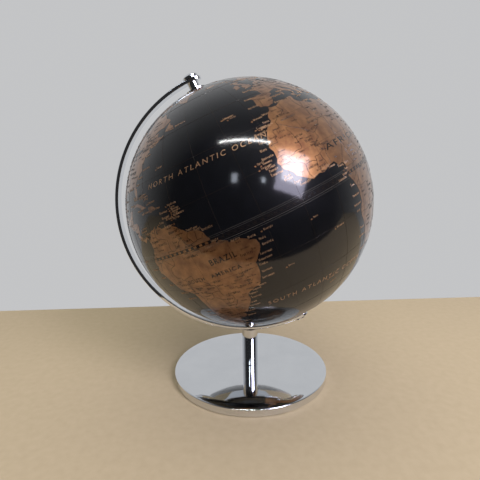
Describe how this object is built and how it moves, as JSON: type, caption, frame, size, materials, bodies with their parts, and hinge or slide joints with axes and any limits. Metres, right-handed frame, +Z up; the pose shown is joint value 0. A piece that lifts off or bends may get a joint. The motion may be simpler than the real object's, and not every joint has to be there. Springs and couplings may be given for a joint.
{
  "type": "desktop globe on stand",
  "caption": "World globe that spins on two pole pins inside a bent metal half hoop, held by one post on a weighted round base.",
  "frame": {"origin": "centre of the base's underside, on the surface that the globe rests on", "axes": "+Z up; the half hoop lies in the XZ plane on the -X side, so the north pole leans towards -X; the globe is seen from -Y"},
  "size_m": [0.21, 0.2, 0.2575],
  "materials": {
    "chrome_base": "mirror chrome on pressed steel",
    "chrome_post": "mirror chrome on turned bar",
    "chrome_arm": "mirror chrome on bent flat strip",
    "chrome_screws": "bright chrome",
    "chrome_sleeves": "bright chrome on turned bar",
    "chrome_caps": "bright chrome on pressed steel",
    "zinc_steel": "zinc plated",
    "iron": "rough cast",
    "foam": "closed-cell foam sheet",
    "nylon": "natural nylon",
    "raw_plastic": "unpainted moulding",
    "ball_print": "black and copper map print under clear varnish"
  },
  "bodies": {
    "stand": {"base_cover": "chrome_base", "base_weight": "iron", "base_pad": "foam", "base_screw": "zinc_steel", "base_washer": "zinc_steel", "post": "chrome_post", "arm": "chrome_arm", "arm_screw": "chrome_screws", "arm_washer": "chrome_screws", "north_screw": "chrome_screws", "north_sleeve": "chrome_sleeves", "south_screw": "chrome_screws", "south_sleeve": "chrome_sleeves", "thrust_washer": "nylon"},
    "ball": {"north_half": "ball_print", "south_half": "ball_print", "joining_band": "raw_plastic", "north_cap": "chrome_caps", "north_lock_ring": "nylon", "south_cap": "chrome_caps", "south_lock_ring": "nylon"}
  },
  "joints": [
    {"name": "ball_spin", "type": "hinge", "parent": "stand", "child": "ball", "pos_m": [0, 0, 0.152], "axis": [-0.4067, 0, 0.9135], "continuous": true}
  ]
}
